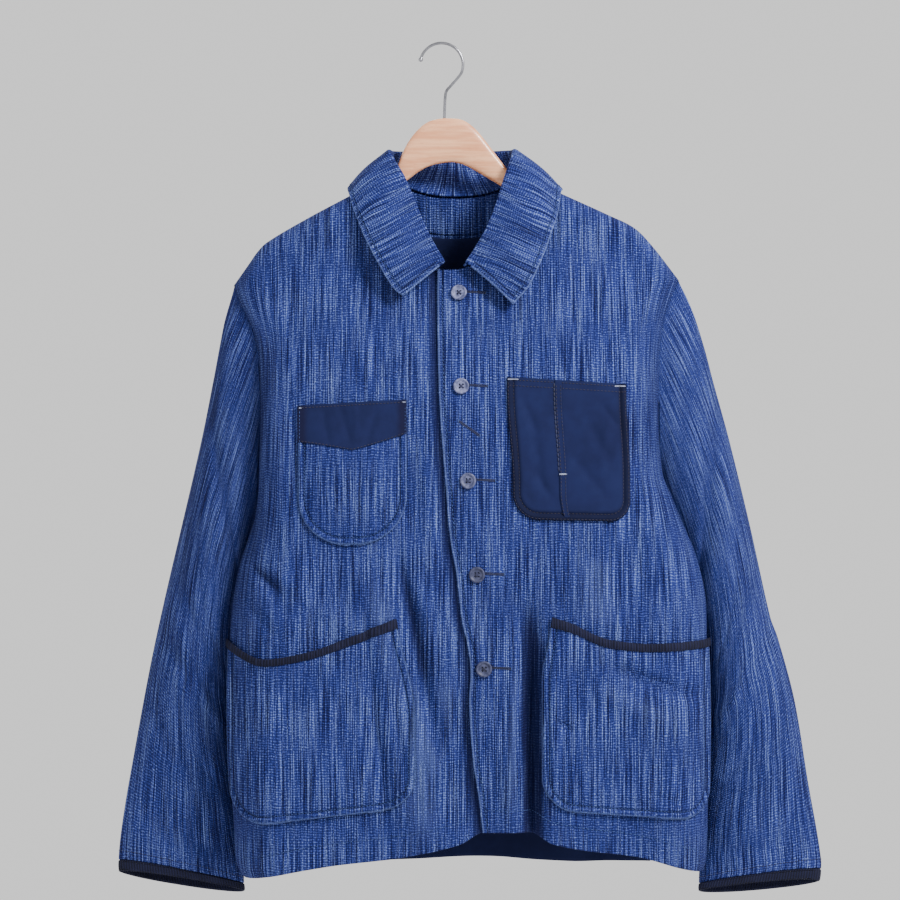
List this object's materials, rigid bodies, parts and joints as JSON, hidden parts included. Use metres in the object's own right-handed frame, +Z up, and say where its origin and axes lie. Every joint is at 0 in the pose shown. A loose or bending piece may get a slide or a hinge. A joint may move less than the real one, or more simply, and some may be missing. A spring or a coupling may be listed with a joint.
{
  "type": "patched indigo work jacket on a wooden hanger",
  "caption": "Indigo slub-woven work jacket with navy chest pocket, pocket yoke and bindings, buttoned up and hanging on a wooden hanger with a wire hook.",
  "frame": {"origin": "underside of the hook's crown, where a rail carries the hanger", "axes": "+Z up, the front of the jacket faces -Y, +X is the wearer's left side"},
  "size_m": [0.7704, 0.1814, 0.9316],
  "materials": {
    "slub_cloth": "slub weave, indigo with pale streaks, matte",
    "navy_twill": "dark navy twill, matte",
    "button_horn": "grey-lilac, satin",
    "hanger_beech": "light varnished beech",
    "hook_steel": "bright wire"
  },
  "bodies": {
    "root": {"front_left": "slub_cloth", "front_right": "slub_cloth", "back": "slub_cloth", "back_neck_facing": "slub_cloth", "back_neck_lining": "navy_twill", "back_hem_lining": "navy_twill", "sleeve_left": "slub_cloth", "cuff_binding_left": "navy_twill", "sleeve_right": "slub_cloth", "cuff_binding_right": "navy_twill", "collar": "slub_cloth", "chest_pocket_left": "navy_twill", "chest_pocket_right": "slub_cloth", "hip_pocket_left": "slub_cloth", "hip_pocket_right": "slub_cloth", "chest_pocket_right_yoke": "navy_twill", "hip_pocket_left_binding": "navy_twill", "hip_pocket_right_binding": "navy_twill", "pen_slot_band": "navy_twill", "button_1": "button_horn", "button_2": "button_horn", "button_3": "button_horn", "button_4": "button_horn", "button_5": "button_horn", "hanger_wood": "hanger_beech", "hanger_hook": "hook_steel"}
  },
  "joints": []
}
